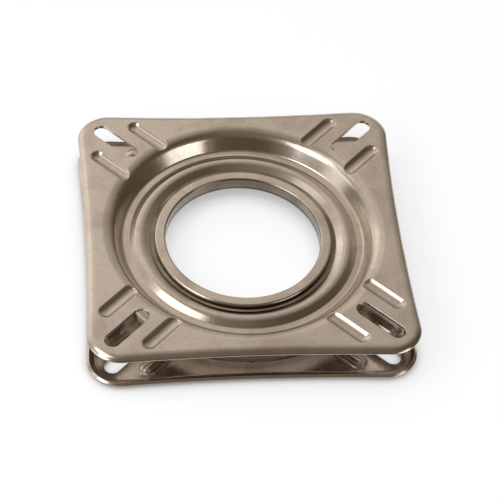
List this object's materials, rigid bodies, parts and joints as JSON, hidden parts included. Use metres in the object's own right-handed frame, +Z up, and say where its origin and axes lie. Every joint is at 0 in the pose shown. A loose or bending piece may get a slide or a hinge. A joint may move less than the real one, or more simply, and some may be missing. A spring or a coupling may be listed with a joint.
{
  "type": "seat swivel",
  "caption": "Low square seat swivel: dished steel plates with slotted corners that turn on a caged ball race round a retaining ring.",
  "frame": {"origin": "centre of the turning axis, on the face of the bottom plate that lies on the seat base", "axes": "+Z up along the turning axis, towards the seat; X and Y square to the sides of the plates"},
  "size_m": [0.178, 0.178, 0.025],
  "materials": {
    "plates": "pressed steel sheet with a bright warm-grey plated surface, worn by handling",
    "ring": "drawn steel, bright plated",
    "balls": "ground steel balls",
    "cage": "moulded acetal, natural white"
  },
  "bodies": {
    "base": {"bottom_plate": "plates", "retaining_ring": "ring"},
    "seat_side": {"top_plate": "plates"},
    "race": {"ball_cage": "cage", "ball_01": "balls", "ball_02": "balls", "ball_03": "balls", "ball_04": "balls", "ball_05": "balls", "ball_06": "balls", "ball_07": "balls", "ball_08": "balls", "ball_09": "balls", "ball_10": "balls", "ball_11": "balls", "ball_12": "balls", "ball_13": "balls", "ball_14": "balls", "ball_15": "balls", "ball_16": "balls"}
  },
  "joints": [
    {"name": "swivel", "type": "hinge", "parent": "base", "child": "seat_side", "pos_m": [0, 0, 0.025], "axis": [0, 0, 1], "continuous": true},
    {"name": "race_turn", "type": "hinge", "parent": "base", "child": "race", "pos_m": [0, 0, 0.0125], "axis": [0, 0, 1], "continuous": true}
  ],
  "couplings": [
    {"joint": "race_turn", "follows": "swivel", "ratio": 0.5}
  ]
}
